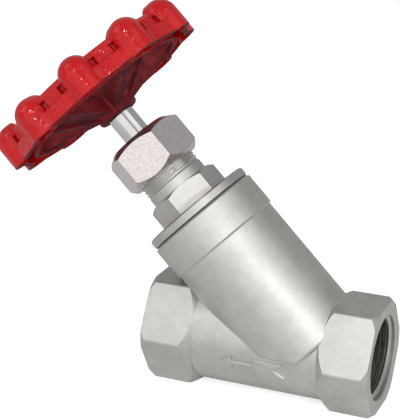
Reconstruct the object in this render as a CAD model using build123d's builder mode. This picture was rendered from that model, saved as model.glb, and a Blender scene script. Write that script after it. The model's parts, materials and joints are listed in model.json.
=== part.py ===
from build123d import *
from math import asin, cos, degrees, radians, sin, sqrt
import os

# One-inch Y-pattern globe valve with threaded hexagon ends.
# X runs along the pipe from the outlet mouth, Z is up. The bonnet leans back
# towards the outlet, in the XZ plane. All sizes are in millimetres.

# --- Body, along the pipe ---
face_to_face = 92.5
bonnet_angle = 45.0             # between the bonnet axis and the pipe
crossing_x = 64.2               # where the bonnet axis meets the pipe axis
hex_across_flats = 41.5
hex_length = 20.5
hex_corner_r = 1.5
mouth_chamfer_r = 22.0          # circle left on the end face by the turned chamfer
mouth_chamfer_length = 2.3
shoulder_chamfer_length = 4.0
run_r = 20.2
pipe_thread_r = 16.62           # G1 thread, major radius
pipe_thread_length = 18.0
mouth_countersink = 0.4
passage_r = 12.5
hex_foot_step = 0.2             # the shoulder chamfer ends just above the run

# --- Body, along the bonnet axis ---
branch_r = 22.7
branch_foot_r = 1.8
branch_low_z = 0.5              # the branch dies into the run at the centre plane
collar_r = 23.5
collar_bottom = 54.0
collar_top = 67.4
collar_edge = 0.6
collar_slope = 0.8              # height of the slope from the branch out to the collar
chamber_r = 17.0
seat_bridge = 4.0               # wall between the inlet and the outlet side
seat_ridge_r = 15.2
seat_ridge_height = 1.5
bonnet_thread_r = 19.6
bonnet_thread_depth = 15.0
thread_relief = 1.0             # conical end of the bonnet thread in the body
seat_root = 0.5                 # how far the seat ridge is rooted in the bridge

# --- Fits ---
thread_gap = 0.05
running_gap = 0.05
seat_gap = 0.05
joint_gap = 0.02                # light assembly gap between stacked pieces
packing_gap = 0.03

# --- Bonnet ---
gasket_thickness = 0.5
gasket_r = 22.4
gasket_land = 0.3
flange_r = 23.0
flange_thickness = 3.8
flange_edge = 0.8
bonnet_hex_flats = 27.0
bonnet_hex_height = 8.8
bonnet_hex_turn = 34.4
bonnet_hex_chamfer = 1.3
gland_neck_r = 12.5
gland_neck_height = 17.5
gland_neck_chamfer = 0.8
gland_core_r = 12.0             # root of the gland thread
gland_thread_start = 3.6        # plain band between the hexagon and the thread
bonnet_relief = 0.8             # depth of the undercut between thread and flange
skirt_bore_r = 13.0
skirt_bore_depth = 6.0
backseat_chamfer = 1.6
box_r = 9.0                     # stuffing box

# --- Stem and its lift ---
stem_r = 5.5
stem_thread_r = 5.9
stem_lift = 9.0
backseat_r = 7.6
backseat_height = 3.0
stem_groove_r = 5.0
stem_groove_length = 1.5
button_r = 8.0
button_height = 2.8
square_flats = 8.0
square_play = 0.1
wheel_stud_r = 3.9

# --- Plug ---
seal_r = 15.6
seal_thickness = 4.0
carrier_r = 16.3
carrier_lip = 2.4               # how far the carrier reaches down around the seal
carrier_plate = 3.6
carrier_boss_r = 11.6
carrier_boss_height = 11.0
button_play = 0.25
carrier_spigot_r = 3.0
clamp_washer_r = 10.5
clamp_washer_thickness = 2.0
seal_nut_flats = 10.0
seal_nut_height = 5.0
spigot_end = 1.0
swivel_washer_thickness = 0.8
swivel_nut_thread_r = 9.6
swivel_nut_flats = 20.0
swivel_nut_head = 4.0

# --- Packing and gland ---
base_washer_thickness = 1.5
adapter_base = 1.5
chevron_thickness = 2.0
chevron_rise = 1.2
chevron_count = 3
follower_length = 9.2
follower_flange_r = 10.9
follower_flange_height = 2.0
nut_flats = 30.0
nut_turn = 15.4
nut_bottom = 89.0
nut_top = 106.4
nut_corner_r = 0.6
nut_top_chamfer = 3.2
nut_top_face_r = 12.4
nut_bottom_chamfer = 2.9
nut_bottom_face_r = 14.4

# --- Handwheel ---
wheel_turn = 7.5
hub_bottom = 117.7
hub_r = 8.8
hub_length = 15.0
hub_edge = 0.8
rim_rise = 8.2                  # from the hub's lower face up to the rim's
rim_r = 42.0                    # rim between the lobes
rim_width = 8.2
rim_foot = 2.0                  # the rim's inner foot stands this far above its outer foot
rim_edge = 0.8
rim_wall = 2.4
lip_width = 2.2                 # ledge in front of each notch
lip_height = 6.1
saddle_height = 12.1
saddle_crown = 1.5
saddle_slope = 5.0              # fall of the inner wall from the saddle's crest
saddle_lean = 2.5
lobe_count = 10
lobe_radius = 7.0
lobe_reach = 3.7                # how far a lobe stands out beyond the rim
lobe_height = 15.6
lobe_lean = 2.6
lobe_blend_r = 5.0
alcove_r = 1.5                  # small recess beside the foot of each lobe
alcove_height = 3.6
alcove_bite = 0.9               # how far the recess cuts into the lobe's flank
alcove_back = 0.6               # its axis stands this far behind the notch's wall
spoke_count = 5
spoke_hub_width = 8.0
spoke_rim_width = 15.0
spoke_depth = 6.5
spoke_hub_lift = 1.0            # arms start this far above the hub's lower face
spoke_rim_lift = 1.6            # and end this far above the rim's outer foot
spoke_rib = 1.3
spoke_rib_height = 2.0
washer_r = 8.0
washer_thickness = 1.5
lock_washer_r = 6.6
lock_washer_thickness = 2.0
lock_washer_slot = 1.2
wheel_nut_flats = 13.0
wheel_nut_height = 5.5
stud_end = 1.5

os.makedirs("parts", exist_ok=True)

# --- Directions shared by every piece on the bonnet axis ---
along = (-cos(radians(bonnet_angle)), 0, sin(radians(bonnet_angle)))
across = (sin(radians(bonnet_angle)), 0, cos(radians(bonnet_angle)))
crossing = (crossing_x, 0, 0)
bonnet_axis = Axis(crossing, along)
bonnet_plane = Plane(origin=crossing, x_dir=across, z_dir=along)
bonnet_section = Plane(origin=crossing, x_dir=across, z_dir=(0, -1, 0))
low_end = (Align.CENTER, Align.CENTER, Align.MIN)
high_end = (Align.CENTER, Align.CENTER, Align.MAX)


def turned(*outline):
    """Closed outline of (radius, height) points, ready to revolve about the bonnet axis."""
    with BuildSketch(bonnet_section) as face:
        with BuildLine():
            Polyline(*outline, close=True)
        make_face()
    return face.sketch


def ring(inner, outer, bottom, top, edge=0.0):
    """Section of a flat ring whose outer edges are broken by a small chamfer."""
    if edge == 0:
        return turned((inner, bottom), (outer, bottom), (outer, top), (inner, top))
    return turned((inner, bottom), (outer - edge, bottom), (outer, bottom + edge),
                  (outer, top - edge), (outer - edge, top), (inner, top))


def hexagon(flats, height, turn=0.0):
    """Hexagon across the bonnet axis at the given height."""
    with BuildSketch(bonnet_plane.offset(height)) as face:
        RegularPolygon(radius=flats / 2, side_count=6, major_radius=False, rotation=turn)
    return face.sketch


# ---------------------------------------------------------------- body
hex_corner_reach = hex_across_flats / sqrt(3)
with BuildPart() as hex_end:
    with BuildSketch(Plane.YZ):
        RegularPolygon(radius=hex_across_flats / 2, side_count=6, major_radius=False)
    extrude(amount=hex_length)
    fillet(hex_end.edges().filter_by(Axis.X), radius=hex_corner_r)
    with BuildSketch(Plane.XY):
        with BuildLine():
            Polyline((0, 0), (0, mouth_chamfer_r), (mouth_chamfer_length, hex_corner_reach),
                     (hex_length - shoulder_chamfer_length, hex_corner_reach),
                     (hex_length, run_r + hex_foot_step), (hex_length, 0), close=True)
        make_face()
    revolve(axis=Axis.X, mode=Mode.INTERSECT)

with BuildPart(bonnet_plane) as branch:
    Cylinder(branch_r, collar_bottom, align=low_end)
    split(bisect_by=Plane.XY.offset(branch_low_z), keep=Keep.TOP)
    foot_edges = branch.edges().filter_by(lambda edge: edge.geom_type != GeomType.LINE)
    fillet(foot_edges.sort_by(bonnet_axis)[:-1], radius=branch_foot_r)

with BuildPart() as outlet_way:
    with BuildSketch(Plane.YZ):
        Circle(passage_r)
    extrude(amount=face_to_face)
    split(bisect_by=bonnet_plane, keep=Keep.TOP)

with BuildPart() as inlet_way:
    with BuildSketch(Plane.YZ):
        Circle(passage_r)
    extrude(amount=face_to_face)
    split(bisect_by=bonnet_plane.offset(-seat_bridge), keep=Keep.BOTTOM)

with BuildPart() as port:
    with BuildSketch(Plane.XY):
        with BuildLine():
            Polyline((0, 0), (0, pipe_thread_r + mouth_countersink), (mouth_countersink, pipe_thread_r),
                     (pipe_thread_length, pipe_thread_r),
                     (pipe_thread_length + (pipe_thread_r - passage_r) / 2, passage_r),
                     (pipe_thread_length + (pipe_thread_r - passage_r) / 2, 0), close=True)
        make_face()
    revolve(axis=Axis.X)

middle = Plane.YZ.offset(face_to_face / 2)
with BuildPart() as body:
    with BuildSketch(Plane.YZ):
        Circle(run_r)
    extrude(amount=face_to_face)
    add(branch.part)
    add(hex_end.part)
    add(mirror(hex_end.part, about=middle, mode=Mode.PRIVATE))
    revolve(turned((0, collar_bottom - collar_slope), (branch_r, collar_bottom - collar_slope),
                   (collar_r, collar_bottom),
                   (collar_r, collar_top - collar_edge), (collar_r - collar_edge, collar_top),
                   (0, collar_top)), axis=bonnet_axis)
    # flow way, chamber and threads
    revolve(turned((0, 0), (chamber_r, 0), (chamber_r, collar_top - bonnet_thread_depth - thread_relief),
                   (bonnet_thread_r, collar_top - bonnet_thread_depth), (bonnet_thread_r, collar_top),
                   (0, collar_top)), axis=bonnet_axis, mode=Mode.SUBTRACT)
    add(outlet_way.part, mode=Mode.SUBTRACT)
    add(inlet_way.part, mode=Mode.SUBTRACT)
    revolve(ring(0, passage_r, -seat_bridge - seat_root, seat_root), axis=bonnet_axis, mode=Mode.SUBTRACT)
    revolve(ring(passage_r, seat_ridge_r, -seat_root, seat_ridge_height), axis=bonnet_axis)
    add(port.part, mode=Mode.SUBTRACT)
    add(mirror(port.part, about=middle, mode=Mode.PRIVATE), mode=Mode.SUBTRACT)
body.part.label = "body"
export_step(body.part, "parts/body.step")

# ---------------------------------------------------------------- bonnet
flange_bottom = collar_top + gasket_thickness
flange_top = flange_bottom + flange_thickness
hex_top = flange_top + bonnet_hex_height
neck_top = hex_top + gland_neck_height
skirt_bottom = collar_top - bonnet_thread_depth + 1
backseat_level = skirt_bottom + skirt_bore_depth
box_bottom = hex_top
stem_bore_r = stem_thread_r + running_gap
hex_reach = bonnet_hex_flats / sqrt(3)
with BuildPart() as bonnet:
    extrude(hexagon(bonnet_hex_flats, flange_top - 1, bonnet_hex_turn), amount=bonnet_hex_height + 1)
    revolve(turned((0, flange_top - 1), (hex_reach, flange_top - 1),
                   (hex_reach, hex_top - bonnet_hex_chamfer),
                   (bonnet_hex_flats / 2, hex_top), (0, hex_top)), axis=bonnet_axis, mode=Mode.INTERSECT)
    revolve(turned((0, skirt_bottom), (bonnet_thread_r - 1, skirt_bottom),
                   (bonnet_thread_r - thread_gap, skirt_bottom + 1),
                   (bonnet_thread_r - thread_gap, collar_top - 1.2),
                   (bonnet_thread_r - bonnet_relief, collar_top - 0.6),
                   (bonnet_thread_r - bonnet_relief, flange_bottom),
                   (flange_r - 0.3, flange_bottom), (flange_r, flange_bottom + 0.3),
                   (flange_r, flange_top - flange_edge), (flange_r - flange_edge, flange_top - 0.2),
                   (hex_reach, flange_top), (0, flange_top)), axis=bonnet_axis)
    revolve(turned((0, flange_top), (gland_neck_r, flange_top),
                   (gland_neck_r, hex_top + gland_thread_start),
                   (gland_core_r, hex_top + gland_thread_start + gland_neck_chamfer),
                   (gland_core_r, neck_top - gland_neck_chamfer),
                   (gland_core_r - gland_neck_chamfer, neck_top), (0, neck_top)), axis=bonnet_axis)
    # skirt bore, back seat, stem bore and stuffing box
    revolve(turned((0, skirt_bottom), (skirt_bore_r, skirt_bottom), (skirt_bore_r, backseat_level),
                   (stem_bore_r + backseat_chamfer, backseat_level),
                   (stem_bore_r, backseat_level + backseat_chamfer), (stem_bore_r, box_bottom),
                   (box_r, box_bottom), (box_r, neck_top - 0.5), (box_r + 0.5, neck_top), (0, neck_top)),
            axis=bonnet_axis, mode=Mode.SUBTRACT)
bonnet.part.label = "bonnet"
export_step(bonnet.part, "parts/bonnet.step")

with BuildPart() as bonnet_gasket:
    revolve(ring(bonnet_thread_r - bonnet_relief + gasket_land, gasket_r, collar_top + joint_gap,
                 flange_bottom - joint_gap), axis=bonnet_axis)
bonnet_gasket.part.label = "bonnet_gasket"
export_step(bonnet_gasket.part, "parts/bonnet_gasket.step")

# ---------------------------------------------------------------- plug
seal_bottom = seat_ridge_height + seat_gap
seal_top = seal_bottom + seal_thickness
plate_top = seal_top + carrier_plate
button_bottom = plate_top - 1.2
button_top = button_bottom + button_height
pocket_top = button_top + swivel_washer_thickness + button_play
boss_top = plate_top + carrier_boss_height
washer_bottom = seal_bottom - clamp_washer_thickness
nut_bottom_end = washer_bottom - seal_nut_height
spigot_bottom = nut_bottom_end - spigot_end

with BuildPart() as disc_carrier:
    revolve(turned((0, spigot_bottom), (carrier_spigot_r - 0.5, spigot_bottom),
                   (carrier_spigot_r, spigot_bottom + 0.5), (carrier_spigot_r, seal_top),
                   (seal_r + packing_gap, seal_top), (seal_r + packing_gap, seal_top - carrier_lip),
                   (carrier_r, seal_top - carrier_lip), (carrier_r, plate_top - 1.5),
                   (carrier_r - 1.5, plate_top), (carrier_boss_r, plate_top + 0.8),
                   (carrier_boss_r, boss_top), (swivel_nut_thread_r, boss_top),
                   (swivel_nut_thread_r, pocket_top), (button_r + button_play, pocket_top),
                   (button_r + button_play, button_bottom - button_play),
                   (0, button_bottom - button_play)), axis=bonnet_axis)
disc_carrier.part.label = "disc_carrier"
export_step(disc_carrier.part, "parts/disc_carrier.step")

with BuildPart() as seat_seal:
    revolve(ring(carrier_spigot_r + packing_gap, seal_r, seal_bottom, seal_top - joint_gap, 0.4),
            axis=bonnet_axis)
seat_seal.part.label = "seat_seal"
export_step(seat_seal.part, "parts/seat_seal.step")

with BuildPart() as seal_washer:
    revolve(ring(carrier_spigot_r + packing_gap, clamp_washer_r, washer_bottom,
                 seal_bottom - joint_gap, 0.3), axis=bonnet_axis)
seal_washer.part.label = "seal_washer"
export_step(seal_washer.part, "parts/seal_washer.step")

with BuildPart() as seal_nut:
    extrude(hexagon(seal_nut_flats, nut_bottom_end), amount=seal_nut_height - joint_gap)
    seal_nut_reach = seal_nut_flats / sqrt(3)
    revolve(turned((carrier_spigot_r + packing_gap, nut_bottom_end), (seal_nut_flats / 2, nut_bottom_end),
                   (seal_nut_reach, nut_bottom_end + 0.5), (seal_nut_reach, washer_bottom),
                   (carrier_spigot_r + packing_gap, washer_bottom)), axis=bonnet_axis,
            mode=Mode.INTERSECT)
seal_nut.part.label = "seal_nut"
export_step(seal_nut.part, "parts/seal_nut.step")

with BuildPart() as swivel_washer:
    revolve(ring(stem_thread_r + 0.15, button_r, pocket_top - swivel_washer_thickness,
                 pocket_top - joint_gap), axis=bonnet_axis)
swivel_washer.part.label = "swivel_washer"
export_step(swivel_washer.part, "parts/swivel_washer.step")

with BuildPart() as swivel_nut:
    extrude(hexagon(swivel_nut_flats, boss_top + joint_gap), amount=swivel_nut_head)
    revolve(ring(0, swivel_nut_flats / sqrt(3), boss_top + joint_gap, boss_top + swivel_nut_head, 0.9),
            axis=bonnet_axis, mode=Mode.INTERSECT)
    revolve(ring(0, swivel_nut_thread_r - packing_gap, pocket_top, boss_top + 1), axis=bonnet_axis)
    revolve(ring(0, stem_thread_r + running_gap, pocket_top - 1, boss_top + swivel_nut_head + 1),
            axis=bonnet_axis, mode=Mode.SUBTRACT)
swivel_nut.part.label = "swivel_nut"
export_step(swivel_nut.part, "parts/swivel_nut.step")

# ---------------------------------------------------------------- stem
backseat_top = backseat_level - stem_lift - 0.1
thread_top = box_bottom - stem_lift - 1.5
hub_top = hub_bottom + hub_length
stack_bottom = hub_top + joint_gap
stack_top = stack_bottom + washer_thickness + lock_washer_thickness + wheel_nut_height
stem_end = stack_top + stud_end
with BuildPart() as stem:
    revolve(turned((0, button_bottom), (button_r - 0.6, button_bottom), (button_r, button_bottom + 0.6),
                   (button_r, button_top - 0.3), (button_r - 0.3, button_top), (stem_thread_r, button_top),
                   (stem_thread_r, backseat_top - backseat_height),
                   (backseat_r, backseat_top - backseat_height),
                   (backseat_r, backseat_top - backseat_chamfer), (stem_thread_r, backseat_top),
                   (stem_thread_r, thread_top), (stem_groove_r, thread_top + 0.9),
                   (stem_groove_r, thread_top + stem_groove_length), (stem_r, thread_top + 2),
                   (stem_r, hub_bottom - 0.5), (stem_r - 0.5, hub_bottom), (0, hub_bottom)),
            axis=bonnet_axis)
    with BuildSketch(bonnet_plane.offset(hub_bottom - 1)):
        Rectangle(square_flats, square_flats, rotation=wheel_turn)
    extrude(amount=hub_length + 0.5)
    revolve(turned((0, hub_bottom), (wheel_stud_r, hub_bottom), (wheel_stud_r, stem_end - 0.7),
                   (wheel_stud_r - 0.7, stem_end), (0, stem_end)), axis=bonnet_axis)
stem.part.label = "stem"
export_step(stem.part, "parts/stem.step")

# ---------------------------------------------------------------- packing set
packing_inner = stem_r + packing_gap
packing_outer = box_r - packing_gap
packing_mid = (packing_inner + packing_outer) / 2

with BuildPart() as packing_washer:
    revolve(ring(packing_inner, packing_outer, box_bottom + joint_gap,
                 box_bottom + base_washer_thickness), axis=bonnet_axis)
packing_washer.part.label = "packing_washer"
export_step(packing_washer.part, "parts/packing_washer.step")

adapter_bottom = box_bottom + base_washer_thickness + joint_gap
chevron_bottom = adapter_bottom + adapter_base
with BuildPart() as lower_adapter:
    revolve(turned((packing_inner, adapter_bottom), (packing_outer, adapter_bottom),
                   (packing_outer, chevron_bottom), (packing_mid, chevron_bottom + chevron_rise),
                   (packing_inner, chevron_bottom)), axis=bonnet_axis)
lower_adapter.part.label = "packing_lower_adapter"
export_step(lower_adapter.part, "parts/packing_lower_adapter.step")

for number in range(1, chevron_count + 1):
    start = chevron_bottom + (number - 1) * chevron_thickness + joint_gap
    finish = chevron_bottom + number * chevron_thickness
    with BuildPart() as v_ring:
        revolve(turned((packing_inner, start), (packing_mid, start + chevron_rise), (packing_outer, start),
                       (packing_outer, finish), (packing_mid, finish + chevron_rise),
                       (packing_inner, finish)), axis=bonnet_axis)
    v_ring.part.label = f"packing_v_ring_{number}"
    export_step(v_ring.part, f"parts/packing_v_ring_{number}.step")

chevron_top = chevron_bottom + chevron_count * chevron_thickness + joint_gap
upper_adapter_top = chevron_top + chevron_rise + adapter_base - 0.5
with BuildPart() as upper_adapter:
    revolve(turned((packing_inner, chevron_top), (packing_mid, chevron_top + chevron_rise),
                   (packing_outer, chevron_top), (packing_outer, upper_adapter_top),
                   (packing_inner, upper_adapter_top)), axis=bonnet_axis)
upper_adapter.part.label = "packing_upper_adapter"
export_step(upper_adapter.part, "parts/packing_upper_adapter.step")

# ---------------------------------------------------------------- gland
follower_bottom = upper_adapter_top + joint_gap
follower_shoulder = follower_bottom + follower_length
follower_top = follower_shoulder + follower_flange_height
with BuildPart() as gland_follower:
    revolve(turned((stem_r + running_gap, follower_bottom), (box_r - running_gap, follower_bottom),
                   (box_r - running_gap, follower_shoulder), (follower_flange_r, follower_shoulder),
                   (follower_flange_r, follower_top - 0.4), (follower_flange_r - 0.4, follower_top),
                   (stem_r + running_gap, follower_top)), axis=bonnet_axis)
gland_follower.part.label = "gland_follower"
export_step(gland_follower.part, "parts/gland_follower.step")

nut_reach = nut_flats / sqrt(3)
nut_thread_r = gland_neck_r + thread_gap
with BuildPart() as gland_nut:
    extrude(hexagon(nut_flats, nut_bottom, nut_turn), amount=nut_top - nut_bottom)
    fillet(gland_nut.edges().filter_by(bonnet_axis), radius=nut_corner_r)
    revolve(turned((0, nut_bottom), (nut_bottom_face_r, nut_bottom),
                   (nut_reach, nut_bottom + nut_bottom_chamfer), (nut_reach, nut_top - nut_top_chamfer),
                   (nut_top_face_r, nut_top), (0, nut_top)), axis=bonnet_axis, mode=Mode.INTERSECT)
    revolve(turned((0, nut_bottom), (nut_thread_r + 0.5, nut_bottom), (nut_thread_r, nut_bottom + 0.5),
                   (nut_thread_r, follower_top + joint_gap), (0, follower_top + joint_gap)),
            axis=bonnet_axis, mode=Mode.SUBTRACT)
    revolve(turned((0, nut_bottom), (stem_r + running_gap, nut_bottom),
                   (stem_r + running_gap, nut_top - 0.5),
                   (stem_r + running_gap + 0.5, nut_top), (0, nut_top)), axis=bonnet_axis,
            mode=Mode.SUBTRACT)
gland_nut.part.label = "gland_nut"
export_step(gland_nut.part, "parts/gland_nut.step")

# ---------------------------------------------------------------- handwheel
wheel_x = Vector(across) * cos(radians(wheel_turn)) + Vector(0, 1, 0) * sin(radians(wheel_turn))
hub_plane = Plane(origin=bonnet_plane.offset(hub_bottom).origin, x_dir=wheel_x, z_dir=along)
rim_bottom = hub_bottom + rim_rise
rim_plane = hub_plane.offset(rim_rise)
rim_inner_r = rim_r - rim_width
notch_r = rim_r - lip_width
lobe_r = rim_r + lobe_reach - lobe_radius     # upright axis of a lobe


def on_rim(*outline):
    """Closed outline of (radius, height above the rim's outer foot) points."""
    return turned(*[(radius, rim_bottom + height) for radius, height in outline])


def round_lobe(radius, height, reach):
    """Upright post with a domed head and a half-round back of the given reach inwards."""
    outward = Plane(origin=rim_plane.from_local_coords((lobe_r - reach, 0, 0)),
                    x_dir=rim_plane.y_dir, z_dir=rim_plane.x_dir)
    with BuildPart(rim_plane) as post:
        with Locations((lobe_r, 0, 0)):
            Cylinder(radius, height - radius, align=low_end)
        with Locations((lobe_r, 0, height - radius)):
            Sphere(radius)
        if reach > 0:
            with BuildSketch(outward):
                with Locations((0, (height - radius) / 2)):
                    Rectangle(2 * radius, height - radius)
                with Locations((0, height - radius)):
                    Circle(radius)
            extrude(amount=reach)
    return post.part


with BuildPart() as lobe:
    add(round_lobe(lobe_radius, lobe_height, rim_width - lobe_radius + lobe_reach + 1))
    revolve(on_rim((rim_inner_r, 0), (rim_r + lobe_radius, 0), (rim_r + lobe_radius, lobe_height + 1),
                   (rim_inner_r + lobe_lean, lobe_height + 1), (rim_inner_r, rim_foot)),
            axis=bonnet_axis, mode=Mode.INTERSECT)

with BuildPart() as lip:
    with BuildSketch(rim_plane) as lip_plan:
        Circle(rim_r)
        with PolarLocations(lobe_r, lobe_count):
            Circle(lobe_radius)
        corners = lip_plan.vertices().sort_by_distance(rim_plane.origin)[:2 * lobe_count]
        fillet(corners, radius=lobe_blend_r)
        Circle(notch_r - 1, mode=Mode.SUBTRACT)
    extrude(amount=lip_height)
    fillet(lip.faces().sort_by(bonnet_axis)[-1].outer_wire().edges(), radius=rim_edge)
    fillet(lip.faces().sort_by(bonnet_axis)[0].outer_wire().edges(), radius=rim_edge)

with BuildPart() as rim_hollow:
    revolve(on_rim((rim_inner_r + rim_wall, -1), (rim_r - rim_wall, -1),
                   (rim_r - rim_wall, lip_height - rim_wall),
                   (rim_inner_r + rim_wall, lip_height - rim_wall + 1)), axis=bonnet_axis)

with BuildPart() as lobe_hollow:
    add(round_lobe(lobe_radius - rim_wall, lobe_height - rim_wall, 0))
    extrude(lobe_hollow.faces().sort_by(bonnet_axis)[0], amount=1)
    revolve(on_rim((rim_inner_r + rim_wall, -2), (rim_r + lobe_radius, -2),
                   (rim_r + lobe_radius, lobe_height + 1),
                   (rim_inner_r + rim_wall + lobe_lean, lobe_height + 1),
                   (rim_inner_r + rim_wall, rim_foot)), axis=bonnet_axis, mode=Mode.INTERSECT)

# one arm: a tapering channel, open below between two edge ribs
arm_profile = Plane(origin=hub_plane.origin, x_dir=hub_plane.x_dir, z_dir=-hub_plane.y_dir)
spoke_reach = rim_inner_r + rim_wall / 2
arm_end_height = rim_rise + spoke_rim_lift
arm_top = arm_end_height + spoke_depth


def arm_plan(hub_width, rim_width_here, start):
    """Tapering strip from the hub to the rim, seen along the wheel's axis."""
    with BuildSketch(hub_plane.offset(-1)) as face:
        with BuildLine():
            Polyline((start, -hub_width / 2), (spoke_reach + 1, -rim_width_here / 2),
                     (spoke_reach + 1, rim_width_here / 2), (start, hub_width / 2), close=True)
        make_face()
    return face.sketch


def arm_side(start, low, high):
    """Side view of the arm between two heights above its sloping lower line."""
    with BuildSketch(arm_profile) as face:
        with BuildLine():
            Polyline((start, spoke_hub_lift + low), (spoke_reach, arm_end_height + low),
                     (spoke_reach, arm_end_height + high), (start, spoke_hub_lift + high), close=True)
        make_face()
    return face.sketch


with BuildPart() as spoke_channel:
    extrude(arm_side(hub_r, -spoke_depth, spoke_rib_height), amount=spoke_rim_width, both=True)
    extrude(arm_plan(spoke_hub_width - 2 * spoke_rib, spoke_rim_width - 2 * spoke_rib, hub_r),
            amount=arm_top + 2, mode=Mode.INTERSECT)
with BuildPart() as spoke:
    extrude(arm_side(hub_r / 2, 0, spoke_depth), amount=spoke_rim_width, both=True)
    extrude(arm_plan(spoke_hub_width, spoke_rim_width, 0), amount=arm_top + 2, mode=Mode.INTERSECT)
    add(spoke_channel.part, mode=Mode.SUBTRACT)

with BuildPart(rim_plane.offset(lip_height)) as alcove:
    with Locations((notch_r - alcove_back, 0, 0)):
        Cylinder(alcove_r, alcove_height, align=low_end)
alcove_turn = degrees(asin((lobe_radius + alcove_r - alcove_bite) / notch_r))

with BuildPart() as handwheel:
    # saddles between the lobes, standing back behind the lip
    revolve(on_rim((rim_inner_r, rim_foot), (rim_inner_r + rim_foot, 0), (notch_r, 0),
                   (notch_r, saddle_height - saddle_crown),
                   (notch_r - saddle_crown, saddle_height),
                   (rim_inner_r + saddle_lean, saddle_height - saddle_crown / 2),
                   (rim_inner_r, saddle_height - saddle_slope)), axis=bonnet_axis)
    for number in range(spoke_count):
        add(spoke.part.rotate(bonnet_axis, (number + 0.5) * 360 / spoke_count))
    add(lip.part)
    for number in range(lobe_count):
        add(lobe.part.rotate(bonnet_axis, number * 360 / lobe_count))
    # recesses beside each lobe's foot, just above the lip
    for number in range(lobe_count):
        for side in (-1, 1):
            turn = number * 360 / lobe_count + side * alcove_turn
            add(alcove.part.rotate(bonnet_axis, turn), mode=Mode.SUBTRACT)
    add(rim_hollow.part, mode=Mode.SUBTRACT)
    for number in range(lobe_count):
        add(lobe_hollow.part.rotate(bonnet_axis, number * 360 / lobe_count), mode=Mode.SUBTRACT)
    revolve(turned((0, hub_bottom), (hub_r - hub_edge, hub_bottom), (hub_r, hub_bottom + hub_edge),
                   (hub_r, hub_top - hub_edge), (hub_r - hub_edge, hub_top), (0, hub_top)),
            axis=bonnet_axis)
    with BuildSketch(hub_plane.offset(-1)):
        Rectangle(square_flats + 2 * square_play, square_flats + 2 * square_play)
    extrude(amount=hub_length + 2, mode=Mode.SUBTRACT)
handwheel.part.label = "handwheel"
export_step(handwheel.part, "parts/handwheel.step")

# ---------------------------------------------------------------- wheel fastening
with BuildPart() as wheel_washer:
    revolve(ring(wheel_stud_r + 0.15, washer_r, stack_bottom,
                 stack_bottom + washer_thickness - joint_gap, 0.2), axis=bonnet_axis)
wheel_washer.part.label = "wheel_washer"
export_step(wheel_washer.part, "parts/wheel_washer.step")

lock_bottom = stack_bottom + washer_thickness
with BuildPart() as lock_washer:
    revolve(ring(wheel_stud_r + 0.15, lock_washer_r, lock_bottom,
                 lock_bottom + lock_washer_thickness - joint_gap), axis=bonnet_axis)
    with BuildSketch(bonnet_plane.offset(lock_bottom - 1)):
        with Locations((lock_washer_r, 0)):
            Rectangle(2 * lock_washer_r, lock_washer_slot)
    extrude(amount=lock_washer_thickness + 2, mode=Mode.SUBTRACT)
lock_washer.part.label = "wheel_lock_washer"
export_step(lock_washer.part, "parts/wheel_lock_washer.step")

wheel_nut_bottom = lock_bottom + lock_washer_thickness
wheel_nut_reach = wheel_nut_flats / sqrt(3)
with BuildPart() as wheel_nut:
    extrude(hexagon(wheel_nut_flats, wheel_nut_bottom), amount=wheel_nut_height)
    revolve(turned((wheel_stud_r + thread_gap, wheel_nut_bottom), (wheel_nut_flats / 2, wheel_nut_bottom),
                   (wheel_nut_reach, wheel_nut_bottom + 0.6), (wheel_nut_reach, stack_top - 0.6),
                   (wheel_nut_flats / 2, stack_top), (wheel_stud_r + thread_gap, stack_top)),
            axis=bonnet_axis, mode=Mode.INTERSECT)
wheel_nut.part.label = "wheel_nut"
export_step(wheel_nut.part, "parts/wheel_nut.step")
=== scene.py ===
import json
import math

import bmesh
import bpy
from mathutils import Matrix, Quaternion, Vector


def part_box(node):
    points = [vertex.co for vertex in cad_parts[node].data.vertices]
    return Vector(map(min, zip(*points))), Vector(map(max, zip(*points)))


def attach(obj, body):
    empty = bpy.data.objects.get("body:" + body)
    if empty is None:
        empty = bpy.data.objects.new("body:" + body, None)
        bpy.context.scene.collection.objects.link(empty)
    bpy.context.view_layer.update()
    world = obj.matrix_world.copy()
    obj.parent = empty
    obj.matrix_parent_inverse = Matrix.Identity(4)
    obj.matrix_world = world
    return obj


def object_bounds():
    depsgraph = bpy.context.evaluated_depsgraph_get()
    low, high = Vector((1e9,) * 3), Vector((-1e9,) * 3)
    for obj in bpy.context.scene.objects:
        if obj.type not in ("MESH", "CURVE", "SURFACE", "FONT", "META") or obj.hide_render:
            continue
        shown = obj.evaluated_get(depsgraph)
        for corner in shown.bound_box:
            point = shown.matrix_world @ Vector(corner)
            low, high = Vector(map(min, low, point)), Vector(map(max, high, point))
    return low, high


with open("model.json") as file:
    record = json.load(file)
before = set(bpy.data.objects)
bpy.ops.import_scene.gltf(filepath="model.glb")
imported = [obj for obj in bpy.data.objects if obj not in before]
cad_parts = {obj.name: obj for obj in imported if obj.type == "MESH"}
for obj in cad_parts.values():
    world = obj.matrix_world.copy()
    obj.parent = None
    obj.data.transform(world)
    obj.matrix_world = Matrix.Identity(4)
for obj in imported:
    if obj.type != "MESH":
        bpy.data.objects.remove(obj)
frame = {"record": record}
cad_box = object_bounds()

MM = 0.001

# From the frame: the bonnet axis, and the point where it crosses the pipe axis.
joints = {joint["name"]: joint for joint in frame["record"]["behaviour"]["joints"]}
BONNET = Vector(joints["plug_lift"]["axis"]).normalized()
stem_point = Vector(joints["stem_turn"]["pos_m"])
CROSSING = stem_point - BONNET * (stem_point.z / BONNET.z)


# ------------------------------------------------------------------ materials
# Sockets of a Mix node set to colours. Its other data types use the same names.
MIX_FIRST, MIX_SECOND, MIX_RESULT = 6, 7, 2


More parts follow.
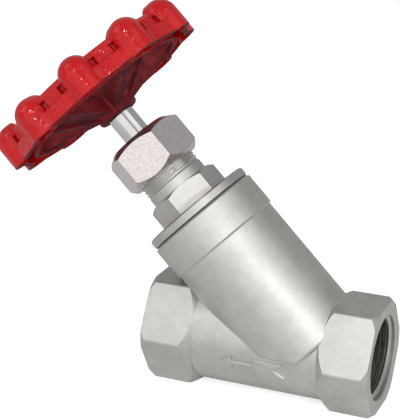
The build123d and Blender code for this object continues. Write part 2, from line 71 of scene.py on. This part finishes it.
class Finish:
    """A new material with short helpers for its procedural nodes."""

    def __init__(self, name):
        self.mat = bpy.data.materials.new(name)
        self.mat.use_nodes = True
        self.nodes, self.links = self.mat.node_tree.nodes, self.mat.node_tree.links
        self.shader = self.nodes["Principled BSDF"]
        self.coord = self.nodes.new("ShaderNodeTexCoord")

    def link(self, source, socket):
        self.links.new(source, self.shader.inputs[socket])

    def put(self, value, socket):
        """Set a number on a socket, or link another node's output to it."""
        if isinstance(value, bpy.types.NodeSocket):
            self.links.new(value, socket)
        else:
            socket.default_value = value

    def value(self, **sockets):
        for socket, number in sockets.items():
            self.shader.inputs[socket.replace("_", " ")].default_value = number

    def noise(self, scale, detail, rough):
        """Even grain in object space. The scale counts its cells in a metre."""
        tex = self.nodes.new("ShaderNodeTexNoise")
        tex.inputs["Scale"].default_value = scale
        tex.inputs["Detail"].default_value = detail
        tex.inputs["Roughness"].default_value = rough
        self.links.new(self.coord.outputs["Object"], tex.inputs["Vector"])
        return tex.outputs["Fac"]

    def lines(self, scale):
        """Bands square to the bonnet axis, as a lathe tool leaves them."""
        tex = self.nodes.new("ShaderNodeTexNoise")
        tex.noise_dimensions = "1D"
        tex.inputs["Scale"].default_value = scale
        tex.inputs["Detail"].default_value = 3.0
        self.links.new(self.along("Object", BONNET), tex.inputs["W"])
        return tex.outputs["Fac"]

    def along(self, output, direction):
        """A Texture Coordinate output, measured along a direction."""
        dot = self.nodes.new("ShaderNodeVectorMath")
        dot.operation = "DOT_PRODUCT"
        dot.inputs[1].default_value = tuple(direction)
        self.links.new(self.coord.outputs[output], dot.inputs[0])
        return dot.outputs["Value"]

    def from_axis(self):
        """Distance of a point from the bonnet axis."""
        offset = self.nodes.new("ShaderNodeVectorMath")
        offset.operation = "SUBTRACT"
        offset.inputs[1].default_value = tuple(CROSSING)
        self.links.new(self.coord.outputs["Object"], offset.inputs[0])
        cross = self.nodes.new("ShaderNodeVectorMath")
        cross.operation = "CROSS_PRODUCT"
        cross.inputs[1].default_value = tuple(BONNET)
        self.links.new(offset.outputs["Vector"], cross.inputs[0])
        length = self.nodes.new("ShaderNodeVectorMath")
        length.operation = "LENGTH"
        self.links.new(cross.outputs["Vector"], length.inputs[0])
        return length.outputs["Value"]

    def ramp(self, source, *stops):
        """Colour that runs through the (place, colour) stops as the source grows."""
        node = self.nodes.new("ShaderNodeValToRGB")
        while len(node.color_ramp.elements) < len(stops):
            node.color_ramp.elements.new(0.5)
        for element, (place, colour) in zip(node.color_ramp.elements, stops):
            element.position = place
            element.color = (*colour, 1)
        self.links.new(source, node.inputs["Fac"])
        return node.outputs["Color"]

    def spread(self, source, low, high, start=0.0, end=1.0):
        """Low where the source is at its start, high from its end on."""
        node = self.nodes.new("ShaderNodeMapRange")
        node.inputs["From Min"].default_value = start
        node.inputs["From Max"].default_value = end
        self.put(low, node.inputs["To Min"])
        self.put(high, node.inputs["To Max"])
        self.links.new(source, node.inputs["Value"])
        return node.outputs["Result"]

    def mix(self, factor, first, second):
        node = self.nodes.new("ShaderNodeMix")
        node.data_type = "RGBA"
        self.links.new(factor, node.inputs["Factor"])
        self.links.new(first, node.inputs[MIX_FIRST])
        self.links.new(second, node.inputs[MIX_SECOND])
        return node.outputs[MIX_RESULT]

    def larger(self, first, second):
        node = self.nodes.new("ShaderNodeMath")
        node.operation = "MAXIMUM"
        self.links.new(first, node.inputs[0])
        self.links.new(second, node.inputs[1])
        return node.outputs["Value"]

    def bump(self, source, depth, strength=1.0, below=None):
        node = self.nodes.new("ShaderNodeBump")
        node.inputs["Distance"].default_value = depth
        self.put(strength, node.inputs["Strength"])
        self.links.new(source, node.inputs["Height"])
        if below:
            self.links.new(below, node.inputs["Normal"])
        return node.outputs["Normal"]


CAST_DARK, CAST_PALE = (0.53, 0.52, 0.49), (0.70, 0.69, 0.665)


def cast_steel():
    """Bead-blasted investment casting: satin, fine grain and a faint cloudy tone."""
    look = Finish("cast_steel")
    look.value(Metallic=1.0)
    cloud = look.noise(scale=70, detail=12, rough=0.8)
    look.link(look.ramp(cloud, (0.32, CAST_DARK), (0.68, CAST_PALE)), "Base Color")
    look.link(look.spread(cloud, low=0.40, high=0.50), "Roughness")
    pits = look.bump(cloud, depth=0.3 * MM, strength=0.3)
    grain = look.noise(scale=1900, detail=3, rough=0.65)
    look.link(look.bump(grain, depth=0.09 * MM, strength=0.7, below=pits), "Normal")
    return look.mat


MARK_SHADE = 0.88               # the darker clouds of turned steel, as a share of its tone
MARK_SMOOTH, MARK_DULL = 0.8, 1.25      # its least and most roughness, as shares of the mean


def turned_steel(name, tone, rough, scale, depth):
    """Machined steel with circular tool marks about the bonnet axis."""
    look = Finish(name)
    look.value(Metallic=1.0)
    cloud = look.noise(scale=90, detail=4, rough=0.55)
    dark = tuple(value * MARK_SHADE for value in tone)
    look.link(look.ramp(cloud, (0.35, dark), (0.65, tone)), "Base Color")
    look.link(look.spread(cloud, low=rough * MARK_SMOOTH, high=rough * MARK_DULL), "Roughness")
    look.link(look.bump(look.lines(scale), depth, strength=0.5), "Normal")
    return look.mat


NUT_DARK, NUT_MIDDLE, NUT_PALE = (0.64, 0.58, 0.575), (0.76, 0.71, 0.705), (0.84, 0.795, 0.79)


def blasted_steel():
    """Forged nut: bright open grain with tiny pink and grey specks."""
    look = Finish("blasted_steel")
    look.value(Metallic=1.0)
    speck = look.noise(scale=1500, detail=2, rough=0.7)
    look.link(look.ramp(speck, (0.34, NUT_DARK), (0.5, NUT_MIDDLE), (0.66, NUT_PALE)), "Base Color")
    cloud = look.noise(scale=120, detail=3, rough=0.5)
    look.link(look.spread(cloud, low=0.2, high=0.34), "Roughness")
    look.link(look.bump(speck, depth=0.06 * MM, strength=0.5), "Normal")
    return look.mat


RED_DEEP, RED_BRIGHT = (0.49, 0.005, 0.008), (0.60, 0.008, 0.011)
# Painted shade for the wheel's underside and inner wall: near black and dark red, with worn patches
# that are also darkened as shade.
SHADE_UNDER_DARK, SHADE_UNDER_MIDDLE = (0.035, 0.003, 0.007), (0.12, 0.005, 0.012)
WORN_UNDER_SHADE = (0.26, 0.035, 0.045)
SHADE_DOWN_FULL, SHADE_DOWN_NONE = -0.75, -0.25         # how far a face looks down the bonnet axis, for full painted shade and for none
SHADE_INSIDE_FULL, SHADE_INSIDE_NONE = 33.5 * MM, 35.0 * MM     # across the rim's inner wall, from full painted shade to none
INSIDE_SHADE_SHARE = 0.85             # how much of the underside's painted shade that wall takes
PEEL_FULL, PEEL_LESS = 39.8 * MM, 40.4 * MM         # from the rim's lip out to the lobes


def red_enamel():
    """Thick glossy enamel over a sand casting, dull on the underside and inside, where its colour
    is darkened as painted shade, with worn patches.
    """
    look = Finish("red_enamel")
    cloud = look.noise(scale=70, detail=4, rough=0.6)
    top = look.ramp(cloud, (0.3, RED_DEEP), (0.7, RED_BRIGHT))
    wear_and_shade = look.noise(scale=160, detail=5, rough=0.65)
    # Painted shade: noise runs the underside from near black through dark red to darkened wear.
    underside_shade = look.ramp(wear_and_shade, (0.38, SHADE_UNDER_DARK), (0.56, SHADE_UNDER_MIDDLE), (0.76, WORN_UNDER_SHADE))
    down_shade = look.spread(look.along("Normal", BONNET), low=1.0, high=0.0,
                         start=SHADE_DOWN_FULL, end=SHADE_DOWN_NONE)
    inner_shade = look.spread(look.from_axis(), low=INSIDE_SHADE_SHARE, high=0.0,
                        start=SHADE_INSIDE_FULL, end=SHADE_INSIDE_NONE)
    # Share of painted shade: full on faces that look down the bonnet axis and inside the rim. It
    # also makes those faces dull.
    painted_shade_share = look.larger(down_shade, inner_shade)
    look.link(look.mix(painted_shade_share, top, underside_shade), "Base Color")
    gloss = look.spread(look.noise(scale=240, detail=3, rough=0.6), low=0.06, high=0.16)
    look.link(look.spread(painted_shade_share, low=gloss, high=0.75), "Roughness")
    look.value(Specular_IOR_Level=0.6, Specular_Tint=(1, 0.55, 0.55, 1))
    soft = look.bump(look.noise(scale=170, detail=2, rough=0.5), depth=1.2 * MM, strength=0.5)
    peel = look.noise(scale=620, detail=2, rough=0.5)
    peel_strength = look.spread(look.from_axis(), low=1.0, high=0.6, start=PEEL_FULL, end=PEEL_LESS)
    look.link(look.bump(peel, depth=0.5 * MM, strength=peel_strength, below=soft), "Normal")
    return look.mat


def moulded(name, scale, dark, pale, rough):
    """Pressed PTFE: one plain tone with a faint grain."""
    look = Finish(name)
    cloud = look.noise(scale, detail=3, rough=0.5)
    look.link(look.ramp(cloud, (0.3, dark), (0.7, pale)), "Base Color")
    look.value(Roughness=rough)
    look.link(look.bump(cloud, depth=0.05 * MM, strength=0.4), "Normal")
    return look.mat


# One finish for each material slot of the record, and another for three of the nodes.
finishes = {
    "cast_stainless": cast_steel(),
    "machined_stainless": turned_steel("machined_steel", tone=(0.66, 0.655, 0.64), rough=0.20,
                                       scale=5200, depth=0.05 * MM),
    "polished_stainless": turned_steel("polished_steel", tone=(0.72, 0.72, 0.71), rough=0.13,
                                       scale=3800, depth=0.03 * MM),
    "zinc_steel": turned_steel("plain_steel", tone=(0.62, 0.63, 0.64), rough=0.30,
                               scale=2600, depth=0.05 * MM),
    "red_enamel": red_enamel(),
    "ptfe": moulded("ptfe", scale=200, dark=(0.80, 0.80, 0.77),
                    pale=(0.88, 0.88, 0.86), rough=0.38),
}
special = {
    "gland_nut": blasted_steel(),
    # The gasket is near black: a painted shade for the gap between the bonnet flange and the
    # collar.
    "bonnet_gasket": moulded("gasket_gap_shade", scale=300, dark=(0.02, 0.02, 0.02),
                             pale=(0.05, 0.05, 0.048), rough=0.5),
    "bonnet": turned_steel("satin_steel", tone=(0.60, 0.59, 0.57), rough=0.38,
                           scale=3200, depth=0.04 * MM),
}
slot_of = {part["node"]: part["material_slot"] for part in frame["record"]["subparts"]}
for node_name, slot_name in slot_of.items():
    node_mesh = bpy.data.objects[node_name].data
    finish = special.get(node_name, finishes[slot_name])
    if not node_mesh.materials:
        node_mesh.materials.append(finish)
    for index in range(len(node_mesh.materials)):
        node_mesh.materials[index] = finish


# ------------------------------------------------------------------ pieces
def new_piece(name, form, body, slot_name):
    """Mesh object from a finished bmesh, riding a body of the frame."""
    mesh = bpy.data.meshes.new(name)
    form.to_mesh(mesh)
    form.free()
    piece = bpy.data.objects.new(name, mesh)
    bpy.context.collection.objects.link(piece)
    mesh.materials.append(finishes[slot_name])
    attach(piece, body)


ROOT_DEPTH = 0.05 * MM          # how deep a piece is rooted in the wall that carries it
THREAD_STEPS = 60               # profiles in one turn of a thread
THREAD_FOOT = 0.47              # half the width of a ridge at its foot, in pitches
THREAD_CREST = 0.09             # and at its crest
THREAD_FADE = THREAD_STEPS / 6  # steps over which a ridge rises at each end
THREAD_LEAST = 0.03             # its height at the very end, as a share of the whole


def thread_ridge(name, origin, axis, start, end, pitch, wall_r, crest_r, body, slot_name):
    """Right-hand V ridge winding along a cylinder, fading out at both ends."""
    out = 1 if crest_r > wall_r else -1
    side_x = axis.orthogonal().normalized()
    side_y = axis.cross(side_x)
    count = int((end - start) / pitch * THREAD_STEPS)
    form = bmesh.new()
    rows = []
    for step in range(count + 1):
        angle = math.tau * step / THREAD_STEPS
        radial = side_x * math.cos(angle) + side_y * math.sin(angle)
        centre = start + pitch * step / THREAD_STEPS
        share = max(THREAD_LEAST, min(1, step / THREAD_FADE, (count - step) / THREAD_FADE))
        crest = wall_r + (crest_r - wall_r) * share
        root = wall_r - out * ROOT_DEPTH
        outline = [(-THREAD_FOOT * pitch, root), (-THREAD_CREST * pitch, crest),
                   (THREAD_CREST * pitch, crest), (THREAD_FOOT * pitch, root)]
        rows.append([form.verts.new(origin + axis * (centre + shift) + radial * radius)
                     for shift, radius in outline])
    for before, after in zip(rows, rows[1:]):
        for first, second in ((0, 1), (1, 2), (2, 3), (3, 0)):
            face = form.faces.new((before[first], before[second], after[second], after[first]))
            face.smooth = True
    form.faces.new(rows[0])
    form.faces.new(rows[-1])
    bmesh.ops.recalc_face_normals(form, faces=form.faces)
    for before, after in zip(rows, rows[1:]):
        for corner, following in zip(before, after):
            form.edges.get((corner, following)).smooth = False
    new_piece(name, form, body, slot_name)


PORT_PITCH = 2.309 * MM         # 11 threads to the inch
PORT_MAJOR_R = 16.62 * MM
PORT_MINOR_R = 15.15 * MM
PORT_DEPTH = 17.6 * MM          # where the thread ends, from the mouth
PORT_LEAD = 1.2 * MM            # plain lead-in at the mouth
body_low, body_high = (Vector(corner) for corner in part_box("body"))
outlet_mouth = Vector((body_low.x, 0, 0))
inlet_mouth = Vector((body_high.x, 0, 0))
for name, mouth, inward in (("outlet_thread", outlet_mouth, Vector((1, 0, 0))),
                            ("inlet_thread", inlet_mouth, Vector((-1, 0, 0)))):
    thread_ridge(name, mouth, inward, PORT_LEAD, PORT_DEPTH, PORT_PITCH, PORT_MAJOR_R, PORT_MINOR_R,
                 "housing", "machined_stainless")

GLAND_PITCH = 1.5 * MM
GLAND_ROOT_R = 12.0 * MM
GLAND_CREST_R = 12.5 * MM
GLAND_START, GLAND_END = 84.9 * MM, 97.2 * MM       # up the bonnet axis from the crossing
thread_ridge("gland_thread", CROSSING, BONNET, GLAND_START, GLAND_END, GLAND_PITCH, GLAND_ROOT_R,
             GLAND_CREST_R, "housing", "machined_stainless")

RUN_R = 20.2 * MM               # outside of the run between the hexagons
ARROW_HEIGHT = 0.8 * MM
ARROW_EDGE = 0.45 * MM          # rounding of its upper edge
ARROW_CENTRE = -3.9             # mm down the side of the run, along its surface
ARROW_CUTS = range(-8, 1)       # mm along it, where the faces are cut to bend round the run
# Outline in mm: along the pipe from the outlet mouth, and up from the arrow's centre line.
ARROW_OUTLINE = [(32.6, 0), (38.2, 3.0), (38.2, 1.0), (46.6, 1.0), (47.2, 3.1), (59.4, 2.9),
                 (55.3, 0), (59.4, -2.9), (47.2, -3.1), (46.6, -1.0), (38.2, -1.0), (38.2, -3.0)]


def flow_arrow():
    """Raised arrow cast on the side of the run, pointing to the outlet."""
    form = bmesh.new()
    corners = [form.verts.new((x * MM, (ARROW_CENTRE + z) * MM, 0)) for x, z in ARROW_OUTLINE]
    face = form.faces.new(corners)
    raised = bmesh.ops.extrude_face_region(form, geom=[face])["geom"]
    top = [item for item in raised if isinstance(item, bmesh.types.BMVert)]
    bmesh.ops.translate(form, verts=top, vec=(0, 0, ARROW_HEIGHT + ROOT_DEPTH))
    top_edges = [edge for edge in form.edges
                 if all(vert.co.z > ARROW_HEIGHT / 2 for vert in edge.verts)]
    bmesh.ops.bevel(form, geom=top_edges, offset=ARROW_EDGE, segments=3, affect="EDGES",
                    profile=0.6)
    for level in ARROW_CUTS:
        bmesh.ops.bisect_plane(form, geom=form.verts[:] + form.edges[:] + form.faces[:],
                               plane_co=(0, level * MM, 0), plane_no=(0, 1, 0))
    bmesh.ops.triangulate(form, faces=form.faces)
    for vert in form.verts:
        radius = RUN_R - ROOT_DEPTH + vert.co.z
        angle = vert.co.y / RUN_R
        vert.co = Vector((vert.co.x, -radius * math.cos(angle), radius * math.sin(angle)))
    bmesh.ops.recalc_face_normals(form, faces=form.faces)
    new_piece("flow_arrow", form, "housing", "cast_stainless")


flow_arrow()


# ------------------------------------------------------------------ stage, light and camera
FLOOR_SIZE = 16
FLOOR_COLOUR = (0.82, 0.82, 0.82, 1)
FLOOR_GLOW = 0.70               # whitens the floor for the camera, and keeps the shadow on it
ROOM_LEVEL = 0.40               # what the room gives to everything but the camera


def white_floor():
    look = Finish("stage_white")
    look.value(Roughness=0.9, Base_Color=FLOOR_COLOUR)
    path = look.nodes.new("ShaderNodeLightPath")
    glow = look.nodes.new("ShaderNodeEmission")
    strength = look.spread(path.outputs["Is Camera Ray"], low=0.0, high=FLOOR_GLOW)
    look.links.new(strength, glow.inputs["Strength"])
    both = look.nodes.new("ShaderNodeAddShader")
    look.links.new(look.shader.outputs["BSDF"], both.inputs[0])
    look.links.new(glow.outputs["Emission"], both.inputs[1])
    look.links.new(both.outputs["Shader"], look.nodes["Material Output"].inputs["Surface"])
    return look.mat


floor_z = cad_box[0][2]
bpy.ops.mesh.primitive_plane_add(size=FLOOR_SIZE, location=(0, 0, floor_z))
floor = bpy.context.object
floor.name = "floor"
floor.data.materials.append(white_floor())


def white_world():
    world = bpy.data.worlds.new("studio")
    bpy.context.scene.world = world
    world.use_nodes = True
    nodes, links = world.node_tree.nodes, world.node_tree.links
    path = nodes.new("ShaderNodeLightPath")
    level = nodes.new("ShaderNodeMapRange")
    level.inputs["To Min"].default_value = ROOM_LEVEL
    level.inputs["To Max"].default_value = 1.0
    links.new(path.outputs["Is Camera Ray"], level.inputs["Value"])
    links.new(level.outputs["Result"], nodes["Background"].inputs["Strength"])
    nodes["Background"].inputs["Color"].default_value = (1, 1, 1, 1)


white_world()
centre = (Vector(cad_box[0]) + Vector(cad_box[1])) / 2


def soft_box(name, direction, distance, size, level):
    """Rectangular lamp facing the valve, with the given brightness of its face."""
    data = bpy.data.lights.new(name, "AREA")
    data.shape = "RECTANGLE"
    data.size, data.size_y = size
    data.energy = level * math.pi * size[0] * size[1]
    lamp = bpy.data.objects.new(name, data)
    bpy.context.collection.objects.link(lamp)
    place = Vector(direction).normalized() * distance
    lamp.location = centre + place
    lamp.rotation_euler = (-place).to_track_quat("-Z", "Y").to_euler()


# Name, direction from the valve, distance, width and height, and brightness of the face.
# The two small bright ones give the enamel its glints.
for lamp_facts in (("front_box", (0.05, -1.0, 0.24), 0.9, (1.35, 0.8), 0.72),
                   ("right_box", (0.66, -0.23, 0.71), 0.8, (0.55, 0.6), 0.75),
                   ("glint_1", (0.75, -0.65, 0.35), 0.8, (0.04, 0.04), 200),
                   ("glint_2", (0.1, -0.8, 0.75), 0.8, (0.04, 0.04), 200),
                   ("left_box", (-0.75, -0.55, 0.75), 0.9, (0.4, 0.4), 1.5)):
    soft_box(*lamp_facts)

# Camera: a long lens half a metre away, looking a little down on the inlet end.
VIEW_AZIMUTH, VIEW_ELEVATION = math.radians(23.215), math.radians(18.989)
VIEW_ROLL = math.radians(0.597)
VIEW_DISTANCE = 0.54293
VIEW_TARGET = Vector((0.0150, 0.00125, 0.04835))
SENSOR_WIDTH, LENS = 36, 124.50         # mm
away = Vector((math.sin(VIEW_AZIMUTH) * math.cos(VIEW_ELEVATION),
               -math.cos(VIEW_AZIMUTH) * math.cos(VIEW_ELEVATION), math.sin(VIEW_ELEVATION)))
camera_data = bpy.data.cameras.new("camera")
camera_data.sensor_fit = "HORIZONTAL"
camera_data.sensor_width = SENSOR_WIDTH
camera_data.lens = LENS
camera = bpy.data.objects.new("camera", camera_data)
camera.location = VIEW_TARGET + away * VIEW_DISTANCE
level_view = (-away).to_track_quat("-Z", "Y")
camera.rotation_euler = (level_view @ Quaternion((0, 0, 1), VIEW_ROLL)).to_euler()
bpy.context.collection.objects.link(camera)
bpy.context.scene.camera = camera
bpy.context.scene.view_settings.view_transform = "Standard"
